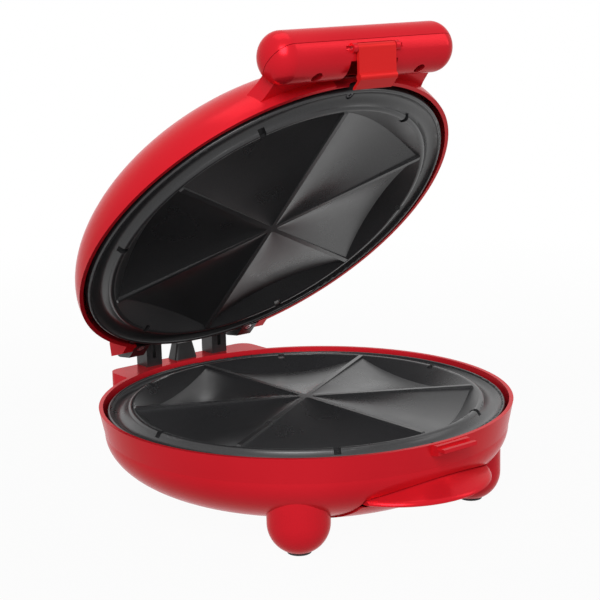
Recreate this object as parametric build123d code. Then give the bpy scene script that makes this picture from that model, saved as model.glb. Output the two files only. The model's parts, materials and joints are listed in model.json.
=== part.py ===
"""Countertop quesadilla maker with a hinged lid, a snap latch and a slide-out drip tray.

Millimetres, +Z up. The origin is on the table, under the middle of the round base. The handle is
at -Y and the hinge at +Y. The base and the lid are drawn about the same vertical axis, with the
lid closed, and everything on the lid is then swung open to the angle at which it stands.
"""

import os
from math import acos, cos, degrees, pi, radians, sin, sqrt, tan

from build123d import *

# ---------------------------------------------------------------- driving dimensions
rim_radius = 120.0  # inside of both housings' rims
wall = 2.4  # moulded wall of the housings
rim_height = 60.7  # top of the base's rim above the table
rim_gap = 3.6  # between the two rims when the lid is closed
lid_rise = 58.6  # height of the dome above its rim
lid_opening = 45.9  # degrees, how far the lid stands open

bowl_floor = 10.0  # underside of the bowl above the table
bowl_corner_width = 73.5  # half-axes of the bowl's elliptical corner
bowl_corner_height = 36.0

leg_radius = 17.5  # of the leg and of its half-round end
leg_x = 65.2
leg_y = 72.4
leg_sole_radius = 7.6  # flat under a leg's round end
leg_lift = 1.6  # the red leg ends this far above the table
heel_radius = 10.2  # of the two short feet under the bustle's back corners
heel_x = 43.0
heel_before_back = 12.1  # a heel's middle before the bustle's back wall
pad_radius = 6.8
pad_seat = 1.2  # depth of a pad's seat in the sole

hinge_behind_rim = 8.3  # hinge pin behind the inside of the rim
hinge_above_rim = 15.1
pin_radius = 2.5
running_clearance = 0.05  # radial, between a pin and the bore that turns on it

plate_clearance = 2.4  # between a cooking plate's edge and the rim around it
ring_inset = 13.9  # middle of the raised ring around the pockets, from the plate's edge
ring_width = 3.8
ring_drop = 0.8  # ring below the dividers' tops
pocket_count = 6
pocket_depth = 9.0
pocket_wall_run = 14.3  # deepest place of a pocket inside the ring
pocket_wall_drop = 1.9  # steep side of a divider, at the pocket's deepest place
divider_width = 2.8
plate_metal = 3.2  # casting's thickness under a pocket
moat_drop = 5.0
lip_width = 2.4
lip_drop = 2.1
vent_width = 4.0
plate_top_gap = 0.5  # between the dividers of the two plates, lid closed
moat_metal = 2.6
drain_inset = 6.6  # the hole in the moat, from the plate's edge
drain_radius = 2.7
drain_shoulder = 1.2  # left under the wide part of the hole, where the screw's head sits

element_ring_radius = 62.0
element_radius = 3.3
element_gap_degrees = 50.0

handle_radius = 14.4
handle_half_length = 65.1
handle_end_length = 12.0
handle_before_rim = 13.0  # handle's middle in front of the inside of the rim
handle_above_rim = 16.8
handle_wall = 2.2
handle_seam_drop = 3.3  # seam below the handle's middle
seam_gap = 0.3

latch_width = 26.6
latch_knuckle_radius = 2.4
latch_pin_radius = 1.25
latch_plate = 1.8
latch_length = 15.6  # from the pin to the middle of the rolled lower edge
latch_slope = 44.2  # degrees below the horizontal, going back towards the lid

catch_width = 24.0
catch_proud = 10.9  # the catch's lip outside the inside of the rim
catch_lip = (1.1, 3.1)  # top and underside of its lip below the rim's top
hook_tip = 3.9  # the latch's hook behind the catch's lip when it is shut

tray_half_width = 45.0
tray_clearance = 0.7
tray_wall = 1.9
tray_back_y = -40.0
tray_wall_top = 28.0
tray_pull_radius = 52.9  # half-moon pull, about its own vertical axis
tray_pull_proud = 12.5  # front of the pull outside the inside of the rim
tray_pull_top = 39.2  # at the bowl, in front
tray_pull_bottom = 30.0

close_gap = 0.2  # between two pieces that sit against each other

# ---------------------------------------------------------------- derived places
hinge_y = rim_radius + hinge_behind_rim
hinge_height = rim_height + hinge_above_rim
handle_y = -rim_radius - handle_before_rim
handle_height = rim_height + handle_above_rim
handle_seam_height = handle_height - handle_seam_drop
catch_reach = rim_radius + catch_proud
tray_pull_y = tray_pull_radius - rim_radius - tray_pull_proud
body_radius = rim_radius + wall
plate_radius = rim_radius - plate_clearance
bowl_corner_radius = body_radius - 2.9 - bowl_corner_width  # middle of the elliptical corner
lid_rim = rim_height + rim_gap
lid_radius = body_radius + 0.6
lower_plate_top = rim_height
upper_plate_top = rim_height + plate_top_gap
hinge_line = Axis((0, hinge_y, hinge_height), (-1, 0, 0))
ring_radius = plate_radius - ring_inset
pocket_deepest_radius = ring_radius - pocket_wall_run
drain_distance = plate_radius - drain_inset
plate_floor = pocket_depth + plate_metal  # deepest place of a casting's underside
bustle_back = hinge_y + 5.3
heel_y = bustle_back - heel_before_back
pad_places = [(x, -leg_y) for x in (-leg_x, leg_x)] + [(x, heel_y) for x in (-heel_x, heel_x)]
latch_y = handle_y - handle_radius + 2.2
latch_height = handle_height - 7.7


def face_of(*lines):
    """Face bounded by a closed run of lines and arcs."""
    return make_face([edge for line in lines for edge in line.edges()])


def outline(*points):
    """Face bounded by straight lines through the points."""
    return make_face(Polyline(*points, close=True))


def spun(face, at=(0, 0)):
    """Solid of revolution: the face's x is the radius and its y the height."""
    return Pos(at[0], at[1], 0) * revolve(Plane.XZ * face, Axis.Z)


def across(face, low, high):
    """Extrude a face drawn in (y, z) from x = low to x = high."""
    return extrude(Plane.YZ.offset(low) * face, high - low)


def block(low, high):
    """Box between two corners."""
    size = [b - a for a, b in zip(low, high)]
    middle = [(a + b) / 2 for a, b in zip(low, high)]
    return Pos(*middle) * Box(*size)


def rod(radius, start, end):
    """Round bar between two points."""
    start, end = Vector(*start), Vector(*end)
    plane = Plane(origin=start, z_dir=end - start)
    return extrude(plane * Circle(radius), (end - start).length)


def both_sides(piece):
    """The piece and its mirror image across the plane x = 0."""
    return [piece, mirror(piece, Plane.YZ)]


def pan_head_screw(at, direction, head_radius, head_height, shank_radius, length):
    """Screw whose head's underside is at a point; the shank runs along the direction."""
    at, direction = Vector(*at), Vector(*direction).normalized()
    head = rod(head_radius, at - direction * head_height, at)
    outer = max(head.edges().filter_by(GeomType.CIRCLE), key=lambda e: (e.arc_center - at).length)
    head = fillet([outer], head_height * 0.45)
    slot_plane = Plane(origin=at - direction * head_height, z_dir=direction)
    recess = [extrude(slot_plane * Rectangle(head_radius * 1.1, head_radius * 0.28), head_height / 2),
              extrude(slot_plane * Rectangle(head_radius * 0.28, head_radius * 1.1), head_height / 2)]
    return head + rod(shank_radius, at - direction * 0.1, at + direction * length) - recess


# ---------------------------------------------------------------- forms shared by several pieces
def bowl_form(grow=0.0):
    """Solid inside of the base's round body, grown outwards; negative shrinks it."""
    low = bowl_floor - grow
    width = bowl_corner_width + grow
    height = bowl_corner_height + grow
    corner_height = bowl_floor + bowl_corner_height
    top = rim_height + (0 if grow == 0 else 20)
    corner = EllipticalCenterArc((bowl_corner_radius, corner_height), width, height, -90, arc_size=90)
    side_lean = (body_radius + grow - (corner @ 1).X) / (rim_height - corner_height)
    top_radius = (corner @ 1).X + side_lean * (top - corner_height)
    return spun(face_of(
        Line((0, top), (0, low)),
        Line((0, low), corner @ 0),
        corner,
        Line(corner @ 1, (top_radius, top)),
        Line((top_radius, top), (0, top)),
    ))


def dome_form(grow=0.0):
    """Solid inside of the lid's elliptical dome, with the lid closed.

    Its very top is a small flat. A grown or shrunk one is a tool for cutting, and goes on
    straight down below the rim.
    """
    radius, rise = lid_radius + grow, lid_rise + grow
    curve = EllipticalCenterArc((0, lid_rim), radius, rise, 0, arc_size=88)
    foot = [(radius, lid_rim - 20), (radius, lid_rim)] if grow else [(radius, lid_rim)]
    return spun(face_of(curve, Polyline(curve @ 1, (0, (curve @ 1).Y), (0, foot[0][1]), *foot)))


def leg_form(grow=0.0):
    """One leg with its half-round end, flat at the sole, standing on its own axis."""
    radius = leg_radius + grow
    low = leg_lift - grow
    middle = leg_lift + sqrt(leg_radius ** 2 - leg_sole_radius ** 2)
    below = degrees(acos((middle - low) / radius))
    end = CenterArc((0, middle), radius, below - 90, 90 - below)
    top = bowl_floor + bowl_corner_height - 8
    return spun(face_of(
        Line((0, low), end @ 0),
        end,
        Line(end @ 1, (radius, top)),
        Line((radius, top), (0, top)),
        Line((0, top), (0, low)),
    ))


def capsule_form(grow=0.0):
    """Handle's outer form: a bar along X with rounded ends, flat at their very tips."""
    radius, half = handle_radius + grow, handle_half_length + grow
    flat = handle_half_length - handle_end_length
    right = EllipticalCenterArc((flat, 0), half - flat, radius, 6, arc_size=84)
    left = EllipticalCenterArc((-flat, 0), half - flat, radius, 90, arc_size=84)
    tip = (right @ 0).X
    profile = face_of(Polyline(left @ 1, (-tip, 0), (tip, 0), right @ 0), right,
                      Line(right @ 1, left @ 0), left)
    return Pos(0, handle_y, handle_height) * revolve(profile, Axis.X)


def opened(piece):
    """Swing a piece of the lid from closed to where the lid stands."""
    return piece.rotate(hinge_line, lid_opening)


# ---------------------------------------------------------------- cooking plates
def pocket_form():
    """Wedge-shaped hollow between two dividers, opening upwards, its mid-line along +X.

    Its floor is a trough that deepens from the plate's middle outwards, and a sloping round wall
    closes it, so that the crease between the two bows out to the ring at the dividers' ends.
    """
    half_angle = pi / pocket_count
    apex = divider_width / 2 / sin(half_angle)
    reach = pocket_deepest_radius - apex

    def section(distance):
        scale = distance / reach
        half = distance * tan(half_angle)
        side, deep, above = pocket_wall_drop * scale, pocket_depth * scale, 2 * scale
        floor = ThreePointArc((-half, -side), (0, -deep), (half, -side))
        plane = Plane(origin=(apex + distance, 0, 0), x_dir=(0, 1, 0), z_dir=(1, 0, 0))
        return plane * face_of(floor, Polyline(floor @ 1, (half, above), (-half, above), floor @ 0))

    trough = loft([section(reach * 0.015), section(reach * 1.25)], ruled=True)
    ring_inside = ring_radius - ring_width / 2
    lean = (ring_inside - pocket_deepest_radius) / (pocket_depth - ring_drop)
    bounds = spun(outline(
        (0, -pocket_depth - 1),
        (pocket_deepest_radius - lean, -pocket_depth - 1),
        (ring_inside + lean * ring_drop, 0),
        (ring_inside + lean * ring_drop, 4),
        (0, 4),
    ))
    return trough & bounds


def plate_body():
    """Round casting before its pockets are cut, with the dividers' tops at z = 0."""
    ring_in, ring_out = ring_radius - ring_width / 2, ring_radius + ring_width / 2
    lip_in = plate_radius - lip_width
    moat = ThreePointArc((ring_out, -ring_drop - 1.2), ((ring_out + lip_in) / 2, -moat_drop),
                         (lip_in, -lip_drop - 1.0))
    ring = ThreePointArc((ring_in + 0.2, -ring_drop), (ring_radius, -ring_drop + 0.35),
                         (ring_out, -ring_drop - 1.2))
    lip = ThreePointArc((lip_in, -lip_drop - 1.0), (plate_radius - lip_width / 2, -lip_drop),
                        (plate_radius, -lip_drop - 1.0))
    moat_floor = -moat_drop - moat_metal
    skirt = -moat_drop - 4.0
    wall_foot = pocket_deepest_radius + 2.6
    return spun(face_of(
        Polyline((0, -plate_metal), (0, 0), (ring_in - 0.8, 0), ring @ 0),
        ring,
        moat,
        lip,
        Polyline(lip @ 1, (plate_radius, skirt), (lip_in, skirt), (lip_in, moat_floor),
                 (wall_foot + 6.8, moat_floor), (wall_foot, -plate_floor),
                 (pocket_deepest_radius, -plate_floor), (0, -plate_metal)),
    ))


def cooking_plate(boss_places, boss_foot):
    """Casting with its six pockets, vents, heater seat and screw bosses, cooking side up."""
    plate = plate_body()
    heater_face = -plate_floor - 1.0
    seat = Pos(0, 0, (heater_face - 5) / 2) * (
        Cylinder(element_ring_radius + 6.5, abs(heater_face) - 5)
        - Cylinder(element_ring_radius - 6.5, abs(heater_face) - 5))
    thermostat_seat = Pos(0, 0, -4.0) * Cylinder(10.0, 4.0)
    plate += [seat, thermostat_seat]
    for x, y in boss_places:
        plate += rod(5.0, (x, y, -plate_floor + 3.2), (x, y, boss_foot))
    plate -= Pos(0, 0, heater_face - 0.4) * Torus(element_ring_radius, element_radius + close_gap)
    pocket = pocket_form()
    vent = block((ring_radius - 3.6, -vent_width / 2, -3.4), (ring_radius + 4.4, vent_width / 2, 1))
    step = 360 / pocket_count
    for i in range(pocket_count):
        plate -= Rot(0, 0, i * step) * pocket
        plate -= Rot(0, 0, i * step) * vent
    moat_floor = -moat_drop - moat_metal
    plate -= rod(drain_radius, (0, -drain_distance, moat_floor + drain_shoulder), (0, -drain_distance, 0))
    return plate - rod(1.6, (0, -drain_distance, moat_floor - 1), (0, -drain_distance, 0))


def heating_element(side):
    """Tubular heater bent into an open ring, its two ends turned away from the plate."""
    turn = 9.0
    start = 90 + element_gap_degrees / 2
    ring = CenterArc((0, 0, 0), element_ring_radius, start, 360 - element_gap_degrees)
    away = Vector(0, 0, side)
    edges = [ring]
    for at, out in ((0, -1), (1, 1)):
        direction = (ring % at) * out
        knee = (ring @ at) + (direction + away) * turn
        bend = TangentArc(ring @ at, knee, tangent=direction)
        edges += [bend, Line(bend @ 1, (bend @ 1) + away * 5.0)]
    path = Wire(edges)
    tube = sweep(Plane(origin=path @ 0, z_dir=path % 0) * Circle(element_radius), path=path)
    tabs = [rod(1.3, path @ at, (path @ at) + away * 7.0) for at in (0, 1)]
    return tube + tabs


def reflector(low_radius, rise, holes):
    """Thin pressed dish that turns the heat back to the plate, its hollow side up."""
    sheet = reflector_sheet
    bend, edge = plate_radius - 17.6, plate_radius - 12.6
    dish = spun(outline((15, 0), (low_radius, 0), (bend, rise), (edge, rise), (edge, rise + sheet),
                        (bend - 0.6, rise + sheet), (low_radius - 0.6, sheet), (15, sheet)))
    for x, y, r in holes:
        dish -= Pos(x, y, 0) * Cylinder(r, 60)
    return dish


# ---------------------------------------------------------------- base
boss_distance = 78.0
boss_places = [(boss_distance * cos(radians(a)), boss_distance * sin(radians(a))) for a in (90, 210, 330)]
boss_depth = plate_floor + 6.8  # leaves room for the heating element before the reflector
reflector_sheet = 0.8
boss_foot_height = lower_plate_top - boss_depth
post_top = boss_foot_height - reflector_sheet
post_counterbore_top = 30.0
bustle_half_width = 55.0
deck = 7.0  # thickness of the bustle's top, which carries the hinge posts
bustle_floor = 12.0
bustle_front = rim_radius - 36.0
bustle_corner = 9.0
post_x = 25.7
post_width = 11.5
post_slot = 2.5
knuckle_radius = 5.9
gland_height = 34.0


def tray_pull(grow=0.0):
    """Half-moon pull of the drip tray, about its own vertical axis in front."""
    radius = tray_pull_radius + grow
    top = tray_pull_top + grow
    flat_radius = 38.7
    low_edge = top - 0.5 * (radius - 2 - flat_radius)
    edge = ThreePointArc((radius - 2, low_edge), (radius - 0.5, low_edge - 1.2), (radius, low_edge - 2.6))
    return spun(face_of(
        Polyline((0, tray_pull_bottom - grow), (0, top + 4), (flat_radius - 8, top + 4), edge @ 0),
        edge,
        Polyline(edge @ 1, (radius - 0.8, tray_pull_bottom - grow), (0, tray_pull_bottom - grow)),
    ), at=(0, tray_pull_y))


def tray_room(grow=0.0):
    """Space that the tray fills in the bowl, without its pull's overhang."""
    half = tray_half_width + grow
    low = bowl_floor + wall + close_gap - (close_gap if grow else 0)
    room = block((-half, -rim_radius - 30, low), (half, tray_back_y + grow, rim_height + 9.3))
    under_pull = tray_pull(grow) + spun(outline(
        (0, low), (tray_pull_radius + 10, low), (tray_pull_radius + 10, tray_pull_bottom),
        (0, tray_pull_bottom)), at=(0, tray_pull_y))
    return room, under_pull


def base_housing():
    """Bowl, two front legs, rear bustle on two heels, posts for the plate's screws, catch."""
    bustle = block((-bustle_half_width, bustle_front, bustle_floor),
                   (bustle_half_width, bustle_back, rim_height))
    rear_corners = [e for e in bustle.edges().filter_by(Axis.Z) if e.center().Y > 100]
    bustle = fillet(rear_corners, bustle_corner)
    rear_foot = [e for e in bustle.edges() if abs(e.center().Z - bustle_floor) < 0.01
                 and e.center().Y > 100]
    bustle = fillet(rear_foot, bustle_corner - 1)
    body = bowl_form() + bustle
    for x in (-leg_x, leg_x):
        body += Pos(x, -leg_y, 0) * leg_form()
    for x in (-heel_x, heel_x):
        heel = rod(heel_radius, (x, heel_y, leg_lift), (x, heel_y, bustle_floor + wall / 2))
        body += fillet(heel.edges().sort_by(Axis.Z)[:1], 3.0)
    inner_bustle = block((-bustle_half_width + wall, bustle_front + wall, bustle_floor + wall),
                         (bustle_half_width - wall, bustle_back - wall, rim_height - deck))
    inner_corners = [e for e in inner_bustle.edges().filter_by(Axis.Z) if e.center().Y > 100]
    inner_bustle = fillet(inner_corners, bustle_corner - wall)
    body -= [bowl_form(-wall), inner_bustle]
    for x in (-leg_x, leg_x):
        body -= Pos(x, -leg_y, 0) * leg_form(-wall)
    for x, y in pad_places:
        body -= Pos(x, y, 0) * Cylinder(pad_radius + close_gap / 2, 2 * (leg_lift + pad_seat))
    for x, y in boss_places:
        body += rod(5.6, (x, y, bowl_floor), (x, y, post_top)) & bowl_form()
        body -= rod(4.2, (x, y, bowl_floor - 1), (x, y, post_counterbore_top))
        body -= rod(2.2, (x, y, bowl_floor), (x, y, post_top + 1))
    lip_top, lip_low = [rim_height - drop for drop in catch_lip]
    root, neck, step = 1.5 - rim_radius, 5.5 - catch_reach, 2.3 - catch_reach
    catch = across(outline(
        (root, rim_height - 0.3), (neck, rim_height - 0.3), (neck, lip_top - 0.8),
        (step, lip_top - 0.8), (step, lip_top), (-catch_reach, lip_top), (-catch_reach, lip_low),
        (neck - 0.8, lip_low), (neck - 0.8, lip_low - 2.4), (root, lip_low - 4.2),
    ), -catch_width / 2, catch_width / 2)
    body += catch - bowl_form(-wall)
    room, under_pull = tray_room(tray_clearance)
    body -= room & under_pull & bowl_form(6)
    for s in (-1, 1):
        for d in (-3.6, 3.6):
            x = s * post_x + d
            body -= rod(1.6, (x, hinge_y, rim_height - deck - 2), (x, hinge_y, rim_height + 1))
    body -= rod(6.2, (0, bustle_back - 5, gland_height), (0, bustle_back + 5, gland_height))
    return body


def hinge_post(side):
    """Upright with two cheeks that carry the hinge pin."""
    half = post_width / 2
    x = side * post_x
    back, front = hinge_y + knuckle_radius, hinge_y - knuckle_radius
    cap = ThreePointArc((front, hinge_height), (hinge_y, hinge_height + knuckle_radius),
                        (back, hinge_height))
    upright = across(face_of(cap, Polyline(cap @ 1, (back, rim_height), (front, rim_height), cap @ 0)),
                     x - half, x + half)
    slot = block((x - post_slot / 2, front - 1, rim_height + 5), (x + post_slot / 2, back + 1, 99))
    bore = rod(pin_radius + running_clearance, (x - 10, hinge_y, hinge_height),
               (x + 10, hinge_y, hinge_height))
    upright -= [slot, bore]
    for d in (-3.6, 3.6):
        upright -= rod(1.3, (x + d, hinge_y, rim_height - 1), (x + d, hinge_y, rim_height + 4.2))
    return upright


def hinge_post_screws():
    """Four screws that come up through the deck into the posts."""
    deck_under = rim_height - deck
    return [pan_head_screw((s * post_x + d, hinge_y, deck_under), (0, 0, 1), 2.8, 1.8, 1.25, 10.6)
            for s in (-1, 1) for d in (-3.6, 3.6)]


def wire_conduit():
    """Hollow upright between the posts that leads the lid's wires out of the base."""
    foot, top = rim_height, rim_height + 11.0
    shape = loft([
        Plane(origin=(0, hinge_y, foot)) * RectangleRounded(17, 10.4, 2),
        Plane(origin=(0, hinge_y, top)) * RectangleRounded(12, 8.4, 2),
    ])
    return shape - Pos(0, hinge_y, foot) * Cylinder(2.6, 40)


def cord_gland():
    """Ribbed bush in the back wall, where the supply cord goes in."""
    outer, inner = bustle_back, bustle_back - wall
    parts = [
        rod(8.4, (0, outer, gland_height), (0, outer + 1.3, gland_height)),
        rod(6.1, (0, inner - 2.2, gland_height), (0, outer + 0.1, gland_height)),
        rod(7.4, (0, inner - 4.0, gland_height), (0, inner - 0.2, gland_height)),
    ]
    gland = parts[0] + parts[1] + parts[2]
    return gland - rod(3.3, (0, inner - 6, gland_height), (0, outer + 3, gland_height))


def lower_plate():
    return Pos(0, 0, lower_plate_top) * (
        cooking_plate(boss_places, -boss_depth)
        - [rod(1.75, (x, y, -boss_depth - 1), (x, y, -boss_depth + 7.5)) for x, y in boss_places])


def plate_screws():
    """Three long screws from under the base into the plate's bosses."""
    return [pan_head_screw((x, y, post_counterbore_top), (0, 0, 1), 3.8, 2.6, 1.7,
                           boss_foot_height - post_counterbore_top + 6.5) for x, y in boss_places]


def element_height(plate_top, side):
    return plate_top + side * (plate_floor + 1.4)


gap_side = element_ring_radius * sin(radians(element_gap_degrees / 2))
gap_back = element_ring_radius * cos(radians(element_gap_degrees / 2))
element_end_holes = [(side * (gap_side - 8.2), gap_back + 3.6, 6.0) for side in (-1, 1)]


def lower_reflector():
    return Pos(0, 0, post_top) * reflector(88, 5.0, [(x, y, 2.2) for x, y in boss_places]
                                           + element_end_holes)


def thermostat():
    """Snap-disc thermostat screwed under the middle of the lower plate."""
    top = lower_plate_top - 6.0
    body = rod(8.0, (0, 0, top), (0, 0, top - 6)) + rod(6.4, (0, 0, top - 6), (0, 0, top - 10))
    ears = block((-12.5, -3.5, top - 1.2), (12.5, 3.5, top))
    blades = [block((s * 4 - 0.4, -3.1, top - 17), (s * 4 + 0.4, 3.1, top - 9)) for s in (-1, 1)]
    return body + ears + blades


def thermal_fuse():
    """Thermal cut-out held in a saddle against the lower plate."""
    depth = plate_metal + 30.0 * plate_floor_slope
    z = lower_plate_top - depth - 2.1 - close_gap
    barrel = rod(2.1, (28, -9, z), (28, 9, z))
    leads = rod(0.5, (28, -15, z), (28, 15, z))
    return barrel + leads


plate_floor_slope = (plate_floor - plate_metal) / pocket_deepest_radius


def terminal_block():
    """Ceramic connector on the bustle's floor, where the cord meets the inner wires."""
    low = bustle_floor + wall
    y = bustle_back - 15.6
    block_body = block((-17, y - 6, low), (17, y + 6, low + 13))
    for x in (-10, 0, 10):
        block_body -= rod(2.0, (x, y - 7, low + 6), (x, y + 7, low + 6))
        block_body -= rod(1.7, (x, y, low + 6), (x, y, low + 14))
    return block_body


def foot_pads():
    """Four rubber pads let into the soles of the legs and heels."""
    pads = []
    height = leg_lift + pad_seat
    for x, y in pad_places:
        pad = Pos(x, y, height / 2) * Cylinder(pad_radius, height)
        pads.append(fillet(pad.edges().sort_by(Axis.Z)[:1], 0.6))
    return pads


# ---------------------------------------------------------------- lid, drawn closed
bracket_low, bracket_high = 36.9, 47.9  # x range of a hinge bracket
bracket_foot = 3.0  # thickness of its foot
bracket_front = hinge_y - 8.7  # front of its arm
bracket_screw_y = hinge_y - 12.1
eye_radius = 6.3
lug_high = 55.4
lug_end = [(hinge_y - 3.2, hinge_height + 2.6), (hinge_y + 1.6, hinge_height - 4.3)]  # its flat end
lug_foot = (hinge_y - 10.3, hinge_height - 10.9)  # front end of its slanted underside
lug_rise = hinge_height + 16.2  # height at which the lug's back meets the dome
lug_start = hinge_y - 38.3
neck_low = lid_rim + 5.7  # underside of the neck that carries the handle
neck_height = 9.7
neck_rib, neck_hollow = 18.4, 44.0  # x range of the hollow under each half of the neck
tab_low, tab_high = 50.2, 54.0  # x range of the plate's hook
tab_drop, tab_thickness, tab_back = 4.2, 1.8, lid_radius - 11.8


def lug_top(y):
    """Height of the sloping top of the lug at a distance behind the axis."""
    end_y, end_z = lug_end[0]
    return end_z + (lug_rise - end_z) * (end_y - y) / (end_y - lug_start)


def round_about_hinge(radius, *angles):
    """Arc about the hinge pin, in (y, z), through three angles in degrees."""
    return ThreePointArc(*[(hinge_y + radius * cos(radians(a)), hinge_height + radius * sin(radians(a)))
                           for a in angles])


def lug_outline():
    """Ear beside the bracket, from the dome's back wall to its flat end, in (y, z)."""
    return outline((lug_start, lug_rise), *lug_end, lug_foot, (lug_start, lug_foot[1]))


def bracket_outline():
    """Black hinge bracket in (y, z): a foot under the lid's back and an eye about the pin."""
    low, foot_top = lid_rim + 0.3, lid_rim + 0.3 + bracket_foot
    eye = round_about_hinge(eye_radius, 90, 0, -50)
    foot_front = bracket_front - 6.8
    return face_of(eye, Polyline(eye @ 1, (hinge_y - 3.9, low), (foot_front, low), (foot_front, foot_top),
                                 (bracket_front, foot_top),
                                 (bracket_front, hinge_height + eye_radius), eye @ 0))


def lid_housing():
    """Dome with its neck for the handle, the hinge lugs and the post for the plate's screw."""
    shell = dome_form()
    shell += extrude(Plane.XY.offset(neck_low) * outline(
        (-60, 23 - lid_radius), (-57, 11 - lid_radius), (-55, handle_y + 2),
        (55, handle_y + 2), (57, 11 - lid_radius), (60, 23 - lid_radius)), neck_height)
    shell -= both_sides(block((neck_rib, handle_y - 9, neck_low - 1),
                              (neck_hollow, 1 - lid_radius, neck_low + 3.4)))
    shell -= capsule_form(close_gap)
    foot_top = lid_rim + 0.3 + bracket_foot + close_gap
    hood_back = bracket_front - close_gap
    hood = across(outline((hood_back, foot_top), (hood_back, lug_top(hood_back)),
                          (lug_start, lug_rise), (lug_start, foot_top)),
                  bracket_low - 0.5, bracket_high + 0.5)
    ear = across(lug_outline(), bracket_high + close_gap, lug_high)
    for lug in both_sides(hood + ear):
        shell += lug
    shell -= block((-latch_bay, handle_y - 9, lid_rim - 1),
                   (latch_bay, wall + 0.2 - lid_radius, lid_rim + 6.5))
    low_y, high_y = lid_radius - 18, hinge_y + 11.7
    shell -= both_sides(block((bracket_low - 0.6, low_y, lid_rim - 1),
                              (bracket_high + close_gap, high_y, foot_top)))
    shell -= block((0.6 - bracket_low, low_y, lid_rim - 1), (bracket_low - 0.6, high_y, lid_rim + 9))
    shell -= dome_form(-wall)
    post_foot = upper_plate_top + moat_drop + moat_metal
    shell += rod(4.2, (0, -drain_distance, post_foot), (0, -drain_distance, lid_rim + 30)) \
        & dome_form(-wall / 2)
    shell -= rod(1.3, (0, -drain_distance, lid_rim), (0, -drain_distance, post_foot + 9))
    x = (bracket_low + bracket_high) / 2
    tab_z = upper_plate_top + tab_drop
    for s in (-1, 1):
        shell -= rod(1.3, (s * x, bracket_screw_y, lid_rim), (s * x, bracket_screw_y, foot_top + 8))
        middle = s * (tab_low + tab_high) / 2
        half = (tab_high - tab_low) / 2 + close_gap
        shell -= block((middle - half, tab_back - 11.2, tab_z - close_gap),
                       (middle + half, tab_back + close_gap, tab_z + tab_thickness + close_gap))
    for x, y in light_places:
        shell -= light_frame(x, y) * Cylinder(3.7, 20)
    return shell


light_places = [(x, 47.0 - lid_radius) for x in (-13.0, 13.0)]  # on top, towards the handle


def light_frame(x, y):
    """Place on the dome's outside with Z along its normal."""
    r = sqrt(x * x + y * y)
    rise = sqrt(1 - (r / lid_radius) ** 2)
    normal = Vector(x / lid_radius ** 2, y / lid_radius ** 2, rise / lid_rise)
    along = Vector(1, 0, 0) - normal * (normal.X / normal.length ** 2)
    return Plane(origin=(x, y, lid_rim + lid_rise * rise), x_dir=along, z_dir=normal).location


def light_lens(x, y):
    """Domed lens pushed through the lid from inside."""
    body = Pos(0, 0, -1.6) * Cylinder(3.6, 4.6)
    body = fillet(body.edges().sort_by(Axis.Z)[-1:], 1.0)
    return light_frame(x, y) * (body + Pos(0, 0, -3.2 - 0.7) * Cylinder(4.8, 1.2))


def indicator_holder():
    """Bracket under the dome that holds the two lamps behind their lenses."""
    parts = []
    for x, y in light_places:
        parts.append(light_frame(x, y) * (Pos(0, 0, -10.2) * (Cylinder(5.6, 11) - Cylinder(2.6, 12))))
    bar = light_frame(0, light_places[0][1]) * Pos(0, 0, -12.2) * Box(22, 7, 3.0)
    return parts[0] + parts[1] + bar


def upper_plate():
    """Same casting as the lower plate, turned over, hooked at the back and screwed in front."""
    tab = block((tab_low, tab_back - 11.2, -tab_drop - tab_thickness), (tab_high, tab_back, -tab_drop))
    tab -= Pos(0, 0, -tab_drop) * Cylinder(plate_radius - 1, 20)
    plate = cooking_plate(boss_places, -boss_depth)
    for hook in both_sides(tab):
        plate += hook
    for x, y in boss_places:
        plate -= rod(1.3, (x, y, -boss_depth - 1), (x, y, -boss_depth + 7.0))
    return Pos(0, 0, upper_plate_top) * mirror(plate, Plane.XY)


def upper_plate_screw():
    """Screw in the drain hole of the upper plate, up into the lid's post."""
    shoulder = upper_plate_top + moat_drop + moat_metal - drain_shoulder
    return pan_head_screw((0, -drain_distance, shoulder), (0, 0, 1), 2.5, 1.4, 1.25, 8.5)


def upper_reflector():
    dish = reflector(84, 5.5, [(x, y, 1.6) for x, y in boss_places] + element_end_holes)
    return Pos(0, 0, upper_plate_top + boss_depth + reflector_sheet) * mirror(dish, Plane.XY)


def upper_reflector_screws():
    """Three short screws that hold the reflector to the plate's bosses."""
    top = upper_plate_top + boss_depth + reflector_sheet
    return [pan_head_screw((x, y, top), (0, 0, -1), 3.0, 1.6, 1.25, 7.0) for x, y in boss_places]


def hinge_bracket():
    bracket = across(bracket_outline(), bracket_low, bracket_high)
    bracket -= rod(pin_radius + 0.02, (bracket_low - 1, hinge_y, hinge_height),
                   (bracket_high + 1, hinge_y, hinge_height))
    x = (bracket_low + bracket_high) / 2
    low = lid_rim + 0.3
    bracket -= rod(1.6, (x, bracket_screw_y, low - 1), (x, bracket_screw_y, low + bracket_foot + 1))
    return bracket - rod(2.9, (x, bracket_screw_y, low - 1), (x, bracket_screw_y, low + 1.8))


def hinge_bracket_screws():
    x = (bracket_low + bracket_high) / 2
    return [pan_head_screw((s * x, bracket_screw_y, lid_rim + 2.1), (0, 0, 1), 2.7, 1.6, 1.25, 8.5)
            for s in (-1, 1)]


def hinge_pin():
    """Headed steel pin: fixed in the lid's bracket, turning in the base's post."""
    inner = post_x - post_width / 2 - 1.6
    pin = rod(pin_radius, (inner, hinge_y, hinge_height), (bracket_high - 0.2, hinge_y, hinge_height))
    return pin + rod(3.6, (inner - 1.6, hinge_y, hinge_height), (inner + 0.01, hinge_y, hinge_height))


# ---------------------------------------------------------------- handle and latch, drawn closed
handle_screw_x = 36.7
handle_screw_y = handle_y + 1.4
handle_top = handle_height + 21.5  # above the whole handle, for cutting
latch_bay = 16.8  # half the width of the room that the latch swings in
latch_ear_low = latch_width / 2 + 0.35
latch_ear_high = latch_ear_low + 3.0


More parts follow.
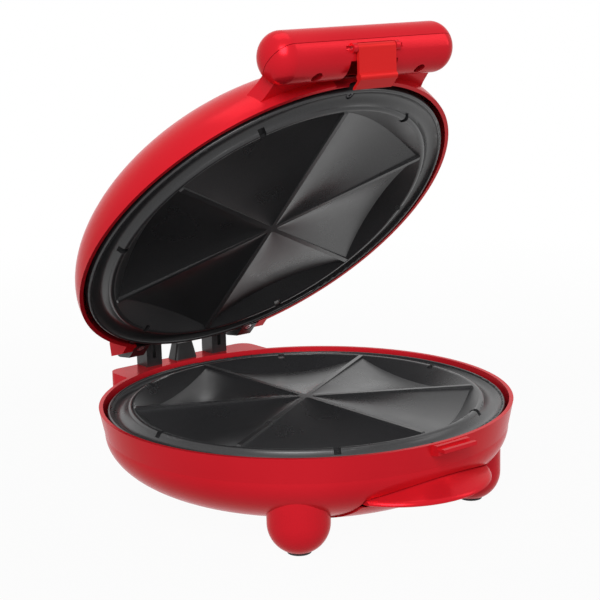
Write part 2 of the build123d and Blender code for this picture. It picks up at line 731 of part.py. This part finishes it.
def handle_shell():
    """Both halves of the hollow handle, trimmed to the dome behind them."""
    return capsule_form() - capsule_form(-handle_wall) - dome_form(close_gap)


def handle_part(low, high):
    """Slice of the handle's space between two heights."""
    half, deep = handle_half_length + 25, handle_radius + 25
    return block((-half, handle_y - deep, low), (half, handle_y + deep, high))


def handle_upper_shell():
    upper = handle_shell() & handle_part(handle_seam_height + seam_gap / 2, handle_top)
    for s in (-1, 1):
        x = s * handle_screw_x
        boss = rod(3.6, (x, handle_screw_y, handle_seam_height + 3), (x, handle_screw_y, handle_top))
        upper += boss & capsule_form(-handle_wall / 2)
        upper -= rod(1.3, (x, handle_screw_y, handle_seam_height - 4),
                     (x, handle_screw_y, handle_height + 9))
    return upper


def handle_lower_shell():
    low, bay_top = handle_height - 27.5, handle_height - 6.5
    lower = handle_shell() & handle_part(low, handle_seam_height - seam_gap / 2)
    for s in (-1, 1):
        x = s * handle_screw_x
        boss = rod(5.0, (x, handle_screw_y, low), (x, handle_screw_y, handle_seam_height + 2.8))
        lower += boss & capsule_form(-handle_wall / 2)
        lower -= rod(1.6, (x, handle_screw_y, low), (x, handle_screw_y, handle_top))
        lower -= rod(3.4, (x, handle_screw_y, low), (x, handle_screw_y, handle_seam_height - 4.5))
    recess = block((-latch_bay, handle_y - 7.2, low), (latch_bay, handle_y + 23, bay_top))
    cheeks = both_sides(block((latch_bay, handle_y - 13, low + 10),
                              (latch_bay + 1.6, handle_y + 13, bay_top)))
    lower += [cheek & capsule_form(-handle_wall / 2) for cheek in cheeks]
    lower -= dome_form(close_gap)
    lower -= recess
    ear_face = Pos(latch_y, latch_height) * Circle(2.7)
    for ear in both_sides(across(ear_face, latch_ear_low, latch_ear_high)):
        lower += ear
    half = latch_width / 2 + 0.35
    lower -= rod(latch_knuckle_radius + 0.4, (-half, latch_y, latch_height), (half, latch_y, latch_height))
    lower -= across(latch_outline(0.4), -half, half)
    lower -= rod(latch_pin_radius + 0.02, (-20, latch_y, latch_height), (20, latch_y, latch_height))
    return lower


def handle_screws():
    return [pan_head_screw((s * handle_screw_x, handle_screw_y, handle_seam_height - 4.5), (0, 0, 1),
                           3.0, 1.8, 1.25, 14) for s in (-1, 1)]


def latch_outline(grow=0.0):
    """Flap of the latch in (y, z): a sloping plate that ends in a roll and a hook."""
    slope = radians(latch_slope)
    along = Vector(cos(slope), -sin(slope))
    outward = Vector(-sin(slope), -cos(slope))
    pin = Vector(latch_y, latch_height)
    skin = latch_knuckle_radius + grow
    inside = latch_knuckle_radius - latch_plate - grow
    plate = outline(*[(p.X, p.Y) for p in (
        pin + outward * skin, pin + outward * skin + along * latch_length,
        pin + outward * inside + along * latch_length, pin + outward * inside)])
    roll_at = pin + outward * (latch_knuckle_radius - latch_plate / 2 + 0.3) + along * latch_length
    roll = Pos(roll_at.X, roll_at.Y) * Circle(latch_plate / 2 + 1.0 + grow)
    tip, lip_low = hook_tip - catch_reach, rim_height - catch_lip[1]
    hook = outline((roll_at.X, lip_low - 2.0 - grow), (tip - 0.9, lip_low - 2.0 - grow),
                   (tip + grow, lip_low - 1.5 - grow), (tip + grow, lip_low - 0.9 + grow),
                   (tip - 1.0, lip_low - 0.4 + grow), (roll_at.X, lip_low - 0.4 + grow))
    return plate + roll + hook


def latch_clip():
    """Sprung flap on the handle that snaps under the base's catch."""
    half = latch_width / 2
    clip = across(latch_outline(), -half, half)
    clip += rod(latch_knuckle_radius, (-half, latch_y, latch_height), (half, latch_y, latch_height))
    return clip - rod(latch_pin_radius + running_clearance, (-half - 1, latch_y, latch_height),
                      (half + 1, latch_y, latch_height))


def latch_pin():
    return rod(latch_pin_radius, (-latch_ear_high, latch_y, latch_height),
               (latch_ear_high, latch_y, latch_height))


# ---------------------------------------------------------------- drip tray
def drip_tray():
    """Tray under the bowl's front, its face in line with the bowl, with a half-moon pull."""
    room, under_pull = tray_room()
    proud = 1.0
    front = bowl_form(proud) & room & under_pull
    ahead, above = -rim_radius - 30, rim_height
    front -= block((-tray_half_width - 15, 16 - rim_radius, tray_wall_top),
                   (tray_half_width + 15, 0, above))
    inside = bowl_form(proud - tray_wall) & block(
        (-tray_half_width + tray_wall, ahead, bowl_floor + wall + close_gap + tray_wall),
        (tray_half_width - tray_wall, tray_back_y - tray_wall, above))
    pull = tray_pull() & block((-tray_half_width, ahead, 0), (tray_half_width, 30 - rim_radius, above))
    pull -= bowl_form(proud - tray_wall)
    return front - inside + pull


# ---------------------------------------------------------------- build
nodes = {
    "base_housing": base_housing(),
    "foot_pads": foot_pads(),
    "lower_cooking_plate": lower_plate(),
    "lower_heating_element": Pos(0, 0, element_height(lower_plate_top, -1)) * heating_element(-1),
    "lower_reflector": lower_reflector(),
    "lower_plate_screws": plate_screws(),
    "thermostat": thermostat(),
    "thermal_fuse": thermal_fuse(),
    "terminal_block": terminal_block(),
    "cord_gland": cord_gland(),
    "wire_conduit": wire_conduit(),
    "hinge_post_left": hinge_post(-1),
    "hinge_post_right": hinge_post(1),
    "hinge_post_screws": hinge_post_screws(),
    "drip_tray": drip_tray(),
}
left_pin, right_pin = both_sides(hinge_pin())[::-1]
left_bracket, right_bracket = both_sides(hinge_bracket())[::-1]
lid_nodes = {
    "lid_housing": lid_housing(),
    "upper_cooking_plate": upper_plate(),
    "upper_heating_element": Pos(0, 0, element_height(upper_plate_top, 1)) * heating_element(1),
    "upper_reflector": upper_reflector(),
    "upper_plate_screw": upper_plate_screw(),
    "upper_reflector_screws": upper_reflector_screws(),
    "hinge_bracket_left": left_bracket,
    "hinge_bracket_right": right_bracket,
    "hinge_bracket_screws": hinge_bracket_screws(),
    "hinge_pin_left": left_pin,
    "hinge_pin_right": right_pin,
    "handle_upper_shell": handle_upper_shell(),
    "handle_lower_shell": handle_lower_shell(),
    "handle_screws": handle_screws(),
    "power_light_lens": light_lens(*light_places[0]),
    "ready_light_lens": light_lens(*light_places[1]),
    "indicator_holder": indicator_holder(),
    "latch_clip": latch_clip(),
    "latch_pin": latch_pin(),
}

os.makedirs("parts", exist_ok=True)
for name, piece in {**nodes, **lid_nodes}.items():
    solids = piece if isinstance(piece, list) else [piece]
    if name in lid_nodes:
        solids = [opened(s) for s in solids]
    shape = solids[0] if len(solids) == 1 else Compound(children=list(solids))
    export_step(shape, f"parts/{name}.step")
    print(name, round(sum(s.volume for s in solids)), "mm3")
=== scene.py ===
"""Looks of the quesadilla maker: camera, studio and materials on the fixed frame."""

import json
from math import cos, radians, sin

import bpy
from mathutils import Matrix, Vector

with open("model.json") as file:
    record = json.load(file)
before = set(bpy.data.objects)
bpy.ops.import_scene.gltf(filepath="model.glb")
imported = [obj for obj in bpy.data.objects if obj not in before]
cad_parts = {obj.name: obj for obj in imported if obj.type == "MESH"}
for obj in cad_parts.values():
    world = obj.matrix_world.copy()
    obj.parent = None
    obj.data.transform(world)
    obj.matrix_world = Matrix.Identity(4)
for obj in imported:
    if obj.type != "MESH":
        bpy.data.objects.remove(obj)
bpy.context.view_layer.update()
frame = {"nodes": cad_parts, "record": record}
nodes = frame["nodes"]

# ---------------------------------------------------------------- camera
# The photograph's view, in degrees and in metres.
VIEW_AZIMUTH = -38.605
VIEW_HEIGHT = 12.251
VIEW_ROLL = -1.434
VIEW_DISTANCE = 0.9527
VIEW_TARGET = Vector((0.0, 0.0, 0.0607))
VIEW_ASIDE = Vector((0.0035, -0.0568))  # target's place right of and above the line of sight
SENSOR_MM = 36.0
LENS_MM = 96.13
CLIP_START = 0.01


def make_camera():
    a, e, roll = radians(VIEW_AZIMUTH), radians(VIEW_HEIGHT), radians(VIEW_ROLL)
    back = Vector((sin(a) * cos(e), -cos(a) * cos(e), sin(e)))
    right = Vector((cos(a), sin(a), 0))
    up = back.cross(right)
    right, up = right * cos(roll) + up * sin(roll), up * cos(roll) - right * sin(roll)
    data = bpy.data.cameras.new("camera")
    data.sensor_width = SENSOR_MM
    data.lens = LENS_MM
    data.clip_start = CLIP_START
    camera = bpy.data.objects.new("camera", data)
    camera.matrix_world = Matrix((right, up, back)).transposed().to_4x4()
    camera.location = VIEW_TARGET + back * VIEW_DISTANCE - right * VIEW_ASIDE.x - up * VIEW_ASIDE.y
    bpy.context.scene.collection.objects.link(camera)
    bpy.context.scene.camera = camera


# ---------------------------------------------------------------- node helpers
def new_material(name):
    """Material with a Principled shader; returns it with its node tree and the shader."""
    material = bpy.data.materials.new(name)
    material.use_nodes = True
    tree = material.node_tree
    return material, tree, tree.nodes["Principled BSDF"]


def noise(tree, scale, detail=3.0, roughness=0.55):
    """Noise on the object's own coordinates; the scale is in cells per metre."""
    coords = tree.nodes.new("ShaderNodeTexCoord")
    texture = tree.nodes.new("ShaderNodeTexNoise")
    texture.inputs["Scale"].default_value = scale
    texture.inputs["Detail"].default_value = detail
    texture.inputs["Roughness"].default_value = roughness
    tree.links.new(coords.outputs["Object"], texture.inputs["Vector"])
    return texture.outputs["Fac"]


def between(tree, factor, low, high, start=0.3, end=0.7):
    """Number that runs from low to high while the factor runs from start to end."""
    ramp = tree.nodes.new("ShaderNodeMapRange")
    ramp.inputs["From Min"].default_value = start
    ramp.inputs["From Max"].default_value = end
    ramp.inputs["To Min"].default_value = low
    ramp.inputs["To Max"].default_value = high
    tree.links.new(factor, ramp.inputs["Value"])
    return ramp.outputs["Result"]


def color_shader(tree, shader, factor, low, high):
    """Base colour that runs from low to high with a 0-1 factor."""
    mix = tree.nodes.new("ShaderNodeMix")
    mix.data_type = "RGBA"
    mix.inputs["A"].default_value = (*low, 1)
    mix.inputs["B"].default_value = (*high, 1)
    tree.links.new(factor, mix.inputs["Factor"])
    tree.links.new(mix.outputs["Result"], shader.inputs["Base Color"])


def roughen(tree, shader, factor, low, high):
    """Roughness that runs from low to high with a noise."""
    tree.links.new(between(tree, factor, low, high), shader.inputs["Roughness"])


def bump(tree, shader, height, strength, distance):
    """Surface relief from a height, its depth in metres."""
    node = tree.nodes.new("ShaderNodeBump")
    node.inputs["Strength"].default_value = strength
    node.inputs["Distance"].default_value = distance
    tree.links.new(height, node.inputs["Height"])
    tree.links.new(node.outputs["Normal"], shader.inputs["Normal"])


# ---------------------------------------------------------------- materials
RED_GLINT = (1.0, 0.30, 0.32)  # keeps the red's edges deep where they mirror the white around
METAL_SHADE = 0.82  # a metal's darkest colour, as a share of its own
METAL_WEAR = 0.16  # how much rougher a metal is where it is worn
FINE_SCRATCHES = 1400  # per metre, on screws


def moulded_plastic(name, dark, light, gloss, satin, pearl=0.0, shine=0.5, glint=(1.0, 1.0, 1.0)):
    """Moulded plastic: a slow drift of colour, a fine haze in the gloss, a faint orange peel."""
    material, tree, shader = new_material(name)
    shader.inputs["Metallic"].default_value = pearl
    shader.inputs["Specular IOR Level"].default_value = shine
    shader.inputs["Specular Tint"].default_value = (*glint, 1)
    color_shader(tree, shader, between(tree, noise(tree, scale=9), 0, 1), dark, light)
    roughen(tree, shader, noise(tree, scale=160, detail=4), gloss, satin)
    bump(tree, shader, noise(tree, scale=220, detail=2), strength=0.05, distance=0.00002)
    return material


def non_stick_coating():
    """Baked coating on a casting: nearly black and satin, with a fine speckle."""
    material, tree, shader = new_material("non_stick")
    fleck = between(tree, noise(tree, scale=1500, detail=2, roughness=0.7), 0, 1,
                    start=0.45, end=0.62)
    color_shader(tree, shader, fleck, (0.019, 0.019, 0.020), (0.029, 0.029, 0.031))
    roughen(tree, shader, noise(tree, scale=24, detail=4), 0.25, 0.34)
    bump(tree, shader, noise(tree, scale=1100, detail=2), strength=0.10, distance=0.00003)
    return material


def rubber():
    material, tree, shader = new_material("rubber")
    color_shader(tree, shader, noise(tree, scale=90), (0.035, 0.037, 0.040), (0.06, 0.062, 0.066))
    roughen(tree, shader, noise(tree, scale=700), 0.62, 0.85)
    bump(tree, shader, noise(tree, scale=1300, detail=2), strength=0.4, distance=0.0001)
    return material


def metal(name, color, rough, scratches=900):
    """Metal with fine scratches, whose number is per metre."""
    material, tree, shader = new_material(name)
    dark = tuple(c * METAL_SHADE for c in color)
    color_shader(tree, shader, noise(tree, scale=120), dark, color)
    roughen(tree, shader, noise(tree, scratches, detail=4), rough, rough + METAL_WEAR)
    shader.inputs["Metallic"].default_value = 1.0
    bump(tree, shader, noise(tree, scratches, detail=3), strength=0.15, distance=0.00005)
    return material


def ceramic():
    material, tree, shader = new_material("ceramic")
    color_shader(tree, shader, noise(tree, scale=150), (0.70, 0.67, 0.60), (0.80, 0.78, 0.72))
    roughen(tree, shader, noise(tree, scale=600), 0.5, 0.7)
    bump(tree, shader, noise(tree, scale=900, detail=2), strength=0.3, distance=0.0001)
    return material


def lens(name, dark, light):
    """Glossy coloured plastic over a lamp that is off."""
    material, tree, shader = new_material(name)
    color_shader(tree, shader, noise(tree, scale=300), dark, light)
    roughen(tree, shader, noise(tree, scale=800), 0.08, 0.16)
    shader.inputs["Coat Weight"].default_value = 0.5
    bump(tree, shader, noise(tree, scale=500, detail=1), strength=0.1, distance=0.00005)
    return material


def make_materials():
    """Material of each slot; colours are linear, gloss and satin the range of roughness."""
    return {
        "red_housing": moulded_plastic("red_plastic", (0.60, 0.012, 0.021), (0.68, 0.016, 0.027),
                                       gloss=0.22, satin=0.26, pearl=0.30, shine=0.12,
                                       glint=RED_GLINT),
        "red_latch": moulded_plastic("latch_plastic", (0.68, 0.018, 0.018), (0.76, 0.024, 0.024),
                                     gloss=0.30, satin=0.35, pearl=0.25, shine=0.12,
                                     glint=RED_GLINT),
        "nonstick_plate": non_stick_coating(),
        "element_steel": metal("element_steel", (0.30, 0.27, 0.24), rough=0.38),
        "reflector_steel": metal("reflector_steel", (0.62, 0.62, 0.60), rough=0.24),
        "steel_hardware": metal("screw_steel", (0.60, 0.60, 0.61), rough=0.22,
                                scratches=FINE_SCRATCHES),
        "black_plastic": moulded_plastic("black_plastic", (0.010, 0.010, 0.011),
                                         (0.016, 0.016, 0.017), gloss=0.30, satin=0.42),
        "white_ceramic": ceramic(),
        "foot_rubber": rubber(),
        "red_lens": lens("red_lens", (0.45, 0.02, 0.01), (0.60, 0.03, 0.02)),
        "green_lens": lens("green_lens", (0.02, 0.30, 0.06), (0.03, 0.42, 0.09)),
    }


def dress_nodes(materials):
    """Give every CAD node the material of its slot; the screw in the upper plate gets a dark grey
    metal instead.
    """
    for part in frame["record"]["subparts"]:
        piece = nodes[part["node"]]
        piece.data.materials.clear()
        piece.data.materials.append(materials[part["material_slot"]])
    nodes["upper_plate_screw"].data.materials[0] = metal(
        "black_screw", (0.12, 0.12, 0.125), rough=0.34, scratches=FINE_SCRATCHES)


# ---------------------------------------------------------------- studio
WORLD_LIGHT = 0.16
FLOOR_HALF = 3.0  # half of the floor's side, in metres
FLOOR_GREY = (0.30, 0.30, 0.30)  # what the floor sends back to the object
FLOOR_GLOW = 0.96  # share of plain white that the camera sees in the floor near the object
FLOOR_FADE = (0.3, 0.9)  # from here to here, in metres from the middle, it fades to plain white
LAMP_TARGET = (0, 0, 0.1)
SOFTBOXES = (  # name, place, size in metres, power in watts
    ("key", (-1.15, -1.1, 1.25), (1.0, 1.0), 33),
    ("side", (1.3, -1.0, 0.9), (0.5, 1.1), 4),
    ("top", (0.1, 0.3, 1.7), (1.3, 1.0), 5),
)


def seen_directly(tree):
    """1 for camera, glossy and transmission rays, else 0."""
    path = tree.nodes.new("ShaderNodeLightPath")
    total = path.outputs["Is Camera Ray"]
    for name in ("Is Glossy Ray", "Is Transmission Ray"):
        add = tree.nodes.new("ShaderNodeMath")
        add.operation = "MAXIMUM"
        tree.links.new(total, add.inputs[0])
        tree.links.new(path.outputs[name], add.inputs[1])
        total = add.outputs[0]
    return total


def make_world():
    world = bpy.data.worlds.new("studio")
    bpy.context.scene.world = world
    world.use_nodes = True
    tree = world.node_tree
    background = tree.nodes["Background"]
    background.inputs["Color"].default_value = (1, 1, 1, 1)
    strength = between(tree, seen_directly(tree), WORLD_LIGHT, 1.0, start=0, end=1)
    tree.links.new(strength, background.inputs["Strength"])


def make_floor():
    """Pale floor that the camera sees as plain white with the object's shadow on it."""
    s = FLOOR_HALF
    mesh = bpy.data.meshes.new("floor")
    mesh.from_pydata([(-s, -s, 0), (s, -s, 0), (s, s, 0), (-s, s, 0)], [], [(0, 1, 2, 3)])
    floor = bpy.data.objects.new("floor", mesh)
    bpy.context.scene.collection.objects.link(floor)
    material, tree, shader = new_material("floor")
    material.cycles.emission_sampling = "NONE"  # its glow is only seen, and lights nothing
    shader.inputs["Base Color"].default_value = (*FLOOR_GREY, 1)
    shader.inputs["Roughness"].default_value = 0.9
    shader.inputs["Specular IOR Level"].default_value = 0.1
    glow = tree.nodes.new("ShaderNodeEmission")
    mix = tree.nodes.new("ShaderNodeMixShader")
    coords = tree.nodes.new("ShaderNodeTexCoord")
    distance = tree.nodes.new("ShaderNodeVectorMath")
    distance.operation = "LENGTH"
    tree.links.new(coords.outputs["Object"], distance.inputs[0])
    whiteness = between(tree, distance.outputs["Value"], FLOOR_GLOW, 1.0, *FLOOR_FADE)
    share = tree.nodes.new("ShaderNodeMath")
    share.operation = "MULTIPLY"
    tree.links.new(whiteness, share.inputs[0])
    tree.links.new(seen_directly(tree), share.inputs[1])
    tree.links.new(share.outputs["Value"], mix.inputs["Fac"])
    tree.links.new(shader.outputs["BSDF"], mix.inputs[1])
    tree.links.new(glow.outputs["Emission"], mix.inputs[2])
    tree.links.new(mix.outputs["Shader"], tree.nodes["Material Output"].inputs["Surface"])
    mesh.materials.append(material)


def make_softbox(name, place, size, power):
    data = bpy.data.lights.new(name, "AREA")
    data.shape = "RECTANGLE"
    data.size, data.size_y = size
    data.energy = power
    lamp = bpy.data.objects.new(name, data)
    lamp.location = place
    lamp.rotation_euler = (Vector(LAMP_TARGET) - Vector(place)).to_track_quat("-Z", "Y").to_euler()
    bpy.context.scene.collection.objects.link(lamp)


make_camera()
make_world()
make_floor()
for softbox in SOFTBOXES:
    make_softbox(*softbox)
dress_nodes(make_materials())
bpy.context.scene.view_settings.view_transform = "Standard"
